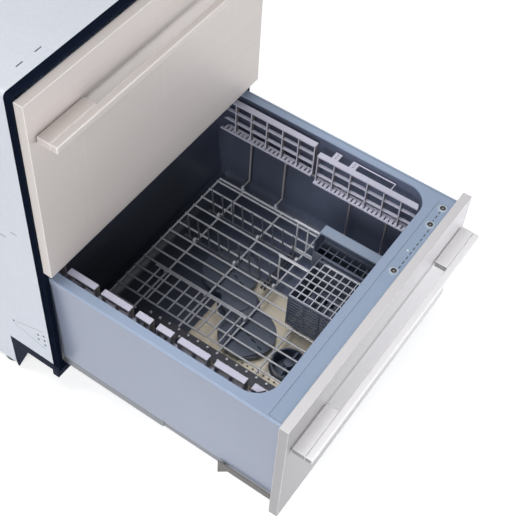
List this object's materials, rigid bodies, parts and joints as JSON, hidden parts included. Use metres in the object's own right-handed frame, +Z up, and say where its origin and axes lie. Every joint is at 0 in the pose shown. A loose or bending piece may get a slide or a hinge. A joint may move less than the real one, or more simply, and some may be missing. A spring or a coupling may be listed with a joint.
{
  "type": "double drawer dishwasher",
  "caption": "Built-in dishwasher with two pull-out wash drawers in one steel cabinet, the lower one drawn open on its slides to show tub, racks and cutlery basket.",
  "frame": {"origin": "on the floor, at the middle of the width, in the plane of the cabinet sheet's front edge, which is also near the middle of the depth with the lower drawer drawn open", "axes": "+Z up, +X to the right of someone who faces the front, -Y out of the front: both drawers open towards -Y"},
  "size_m": [0.599, 1.086, 0.816],
  "materials": {
    "cabinet_sheet": "satin coated steel",
    "zinc_sheet": "bare zinc-coated steel",
    "black_trim": "satin black",
    "base_black": "matte black",
    "foot_plastic": "matte",
    "slide_steel": "satin dark grey",
    "actuator_plastic": "matte",
    "valve_plastic": "matte",
    "hose_plastic": "matte",
    "lid_plastic": "satin",
    "seal_rubber": "matte",
    "tub_plastic": "satin blue-grey",
    "upper_steel": "brushed, warm grey",
    "lower_steel": "brushed, pale",
    "bracket_steel": "folded bare steel",
    "pump_plastic": "matte",
    "arm_plastic": "satin blue-grey",
    "filter_steel": "satin",
    "filter_plastic": "satin",
    "strip_plastic": "satin",
    "button_plastic": "gloss",
    "rack_wire": "plastic-coated wire",
    "tine_wire": "dark plastic-coated wire",
    "cup_rack_plastic": "satin",
    "basket_plastic": "satin",
    "basket_lid_plastic": "satin"
  },
  "bodies": {
    "cabinet": {"wrapper": "cabinet_sheet", "back_panel": "zinc_sheet", "base_frame": "base_black", "front_trim": "black_trim", "kick_frame": "black_trim", "levelling_feet": "foot_plastic", "divider_rail": "black_trim", "cabinet_rails": "slide_steel", "lid_lifters": "actuator_plastic", "inlet_valve": "valve_plastic", "drain_outlet": "hose_plastic", "cable_gland": "hose_plastic"},
    "lower_lid_body": {"lower_lid": "lid_plastic", "lower_lid_seal": "seal_rubber"},
    "upper_lid_body": {"upper_lid": "lid_plastic", "upper_lid_seal": "seal_rubber"},
    "lower_drawer": {"lower_tub": "tub_plastic", "lower_front": "lower_steel", "lower_handle_bar": "lower_steel", "lower_handle_ends": "lower_steel", "lower_door_brackets": "bracket_steel", "lower_drawer_rails": "slide_steel", "lower_wash_pump": "pump_plastic", "lower_filter_plate": "filter_steel", "lower_drain_filter": "filter_plastic", "lower_control_strip": "strip_plastic", "lower_rack": "rack_wire", "cutlery_basket": "basket_plastic"},
    "lower_runner": {"lower_runners": "slide_steel"},
    "upper_drawer": {"upper_tub": "tub_plastic", "upper_front": "upper_steel", "upper_handle_bar": "upper_steel", "upper_handle_ends": "upper_steel", "upper_door_brackets": "bracket_steel", "upper_drawer_rails": "slide_steel", "upper_wash_pump": "pump_plastic", "upper_filter_plate": "filter_steel", "upper_drain_filter": "filter_plastic", "upper_control_strip": "strip_plastic", "upper_rack": "rack_wire"},
    "upper_runner": {"upper_runners": "slide_steel"},
    "lower_arm": {"lower_spray_arm": "arm_plastic"},
    "lower_power_key": {"lower_power_button": "button_plastic"},
    "lower_start_key": {"lower_start_button": "button_plastic"},
    "lower_mode_key": {"lower_mode_button": "button_plastic"},
    "upper_arm": {"upper_spray_arm": "arm_plastic"},
    "upper_power_key": {"upper_power_button": "button_plastic"},
    "upper_start_key": {"upper_start_button": "button_plastic"},
    "upper_mode_key": {"upper_mode_button": "button_plastic"},
    "cup_rack_front_left_fold_body": {"lower_cup_rack_front_left": "cup_rack_plastic"},
    "cup_rack_rear_left_fold_body": {"lower_cup_rack_rear_left": "cup_rack_plastic"},
    "upper_cup_racks_left_fold_body": {"upper_cup_racks_left": "cup_rack_plastic"},
    "cup_rack_front_right_fold_body": {"lower_cup_rack_front_right": "cup_rack_plastic"},
    "cup_rack_rear_right_fold_body": {"lower_cup_rack_rear_right": "cup_rack_plastic"},
    "upper_cup_racks_right_fold_body": {"upper_cup_racks_right": "cup_rack_plastic"},
    "tines_left_fold_body": {"lower_tines_left": "rack_wire"},
    "tines_middle_fold_body": {"lower_tines_middle": "tine_wire"},
    "tines_right_fold_body": {"lower_tines_right": "tine_wire"},
    "upper_tines_fold_body": {"upper_tines": "tine_wire"},
    "basket_lid_hinge_body": {"basket_lid": "basket_lid_plastic"}
  },
  "joints": [
    {"name": "lower_drawer_slide", "type": "slide", "parent": "cabinet", "child": "lower_drawer", "axis": [0, -1, 0], "range_m": [-0.473, 0]},
    {"name": "lower_runner_slide", "type": "slide", "parent": "cabinet", "child": "lower_runner", "axis": [0, -1, 0], "range_m": [-0.2365, 0]},
    {"name": "upper_drawer_slide", "type": "slide", "parent": "cabinet", "child": "upper_drawer", "axis": [0, -1, 0], "range_m": [0, 0.473]},
    {"name": "upper_runner_slide", "type": "slide", "parent": "cabinet", "child": "upper_runner", "axis": [0, -1, 0], "range_m": [0, 0.2365]},
    {"name": "lower_lid_lift", "type": "slide", "parent": "cabinet", "child": "lower_lid_body", "axis": [0, 0, -1], "range_m": [0, 0.006]},
    {"name": "upper_lid_lift", "type": "slide", "parent": "cabinet", "child": "upper_lid_body", "axis": [0, 0, -1], "range_m": [0, 0.006]},
    {"name": "lower_arm_spin", "type": "hinge", "parent": "lower_drawer", "child": "lower_arm", "pos_m": [0, -0.2115, 0.1495], "axis": [0, 0, 1], "continuous": true},
    {"name": "lower_power_press", "type": "slide", "parent": "lower_drawer", "child": "lower_power_key", "axis": [0, 0, -1], "range_m": [0, 0.0012], "stiffness_N_per_m": 600, "springref_m": -0.0008},
    {"name": "lower_start_press", "type": "slide", "parent": "lower_drawer", "child": "lower_start_key", "axis": [0, 0, -1], "range_m": [0, 0.0012], "stiffness_N_per_m": 600, "springref_m": -0.0008},
    {"name": "lower_mode_press", "type": "slide", "parent": "lower_drawer", "child": "lower_mode_key", "axis": [0, 0, -1], "range_m": [0, 0.0012], "stiffness_N_per_m": 600, "springref_m": -0.0008},
    {"name": "upper_arm_spin", "type": "hinge", "parent": "upper_drawer", "child": "upper_arm", "pos_m": [0, 0.2615, 0.5575], "axis": [0, 0, 1], "continuous": true},
    {"name": "upper_power_press", "type": "slide", "parent": "upper_drawer", "child": "upper_power_key", "axis": [0, 0, -1], "range_m": [0, 0.0012], "stiffness_N_per_m": 600, "springref_m": -0.0008},
    {"name": "upper_start_press", "type": "slide", "parent": "upper_drawer", "child": "upper_start_key", "axis": [0, 0, -1], "range_m": [0, 0.0012], "stiffness_N_per_m": 600, "springref_m": -0.0008},
    {"name": "upper_mode_press", "type": "slide", "parent": "upper_drawer", "child": "upper_mode_key", "axis": [0, 0, -1], "range_m": [0, 0.0012], "stiffness_N_per_m": 600, "springref_m": -0.0008},
    {"name": "cup_rack_front_left_fold", "type": "hinge", "parent": "lower_drawer", "child": "cup_rack_front_left_fold_body", "pos_m": [-0.2505, -0.439, 0.297], "axis": [0, 1, 0], "range_deg": [0, 90]},
    {"name": "cup_rack_rear_left_fold", "type": "hinge", "parent": "lower_drawer", "child": "cup_rack_rear_left_fold_body", "pos_m": [-0.2505, -0.205, 0.297], "axis": [0, 1, 0], "range_deg": [0, 90]},
    {"name": "upper_cup_racks_left_fold", "type": "hinge", "parent": "upper_drawer", "child": "upper_cup_racks_left_fold_body", "pos_m": [-0.2505, 0.2615, 0.705], "axis": [0, 1, 0], "range_deg": [0, 90]},
    {"name": "cup_rack_front_right_fold", "type": "hinge", "parent": "lower_drawer", "child": "cup_rack_front_right_fold_body", "pos_m": [0.2505, -0.439, 0.297], "axis": [0, -1, 0], "range_deg": [0, 90]},
    {"name": "cup_rack_rear_right_fold", "type": "hinge", "parent": "lower_drawer", "child": "cup_rack_rear_right_fold_body", "pos_m": [0.2505, -0.205, 0.297], "axis": [0, -1, 0], "range_deg": [0, 90]},
    {"name": "upper_cup_racks_right_fold", "type": "hinge", "parent": "upper_drawer", "child": "upper_cup_racks_right_fold_body", "pos_m": [0.2505, 0.2615, 0.705], "axis": [0, -1, 0], "range_deg": [0, 90]},
    {"name": "tines_left_fold", "type": "hinge", "parent": "lower_drawer", "child": "tines_left_fold_body", "pos_m": [-0.034, -0.2115, 0.177], "axis": [0, 1, 0], "range_deg": [0, 84]},
    {"name": "tines_middle_fold", "type": "hinge", "parent": "lower_drawer", "child": "tines_middle_fold_body", "pos_m": [0.06, -0.2115, 0.177], "axis": [0, -1, 0], "range_deg": [0, 82]},
    {"name": "tines_right_fold", "type": "hinge", "parent": "lower_drawer", "child": "tines_right_fold_body", "pos_m": [0.14, -0.2115, 0.177], "axis": [0, -1, 0], "range_deg": [0, 82]},
    {"name": "upper_tines_fold", "type": "hinge", "parent": "upper_drawer", "child": "upper_tines_fold_body", "pos_m": [0.06, 0.2615, 0.585], "axis": [0, -1, 0], "range_deg": [0, 82]},
    {"name": "basket_lid_hinge", "type": "hinge", "parent": "lower_drawer", "child": "basket_lid_hinge_body", "pos_m": [0.1034, -0.4195, 0.2639], "axis": [0, 1, 0], "range_deg": [0, 95]}
  ],
  "couplings": [
    {"joint": "lower_runner_slide", "follows": "lower_drawer_slide", "ratio": 0.5},
    {"joint": "upper_runner_slide", "follows": "upper_drawer_slide", "ratio": 0.5}
  ]
}
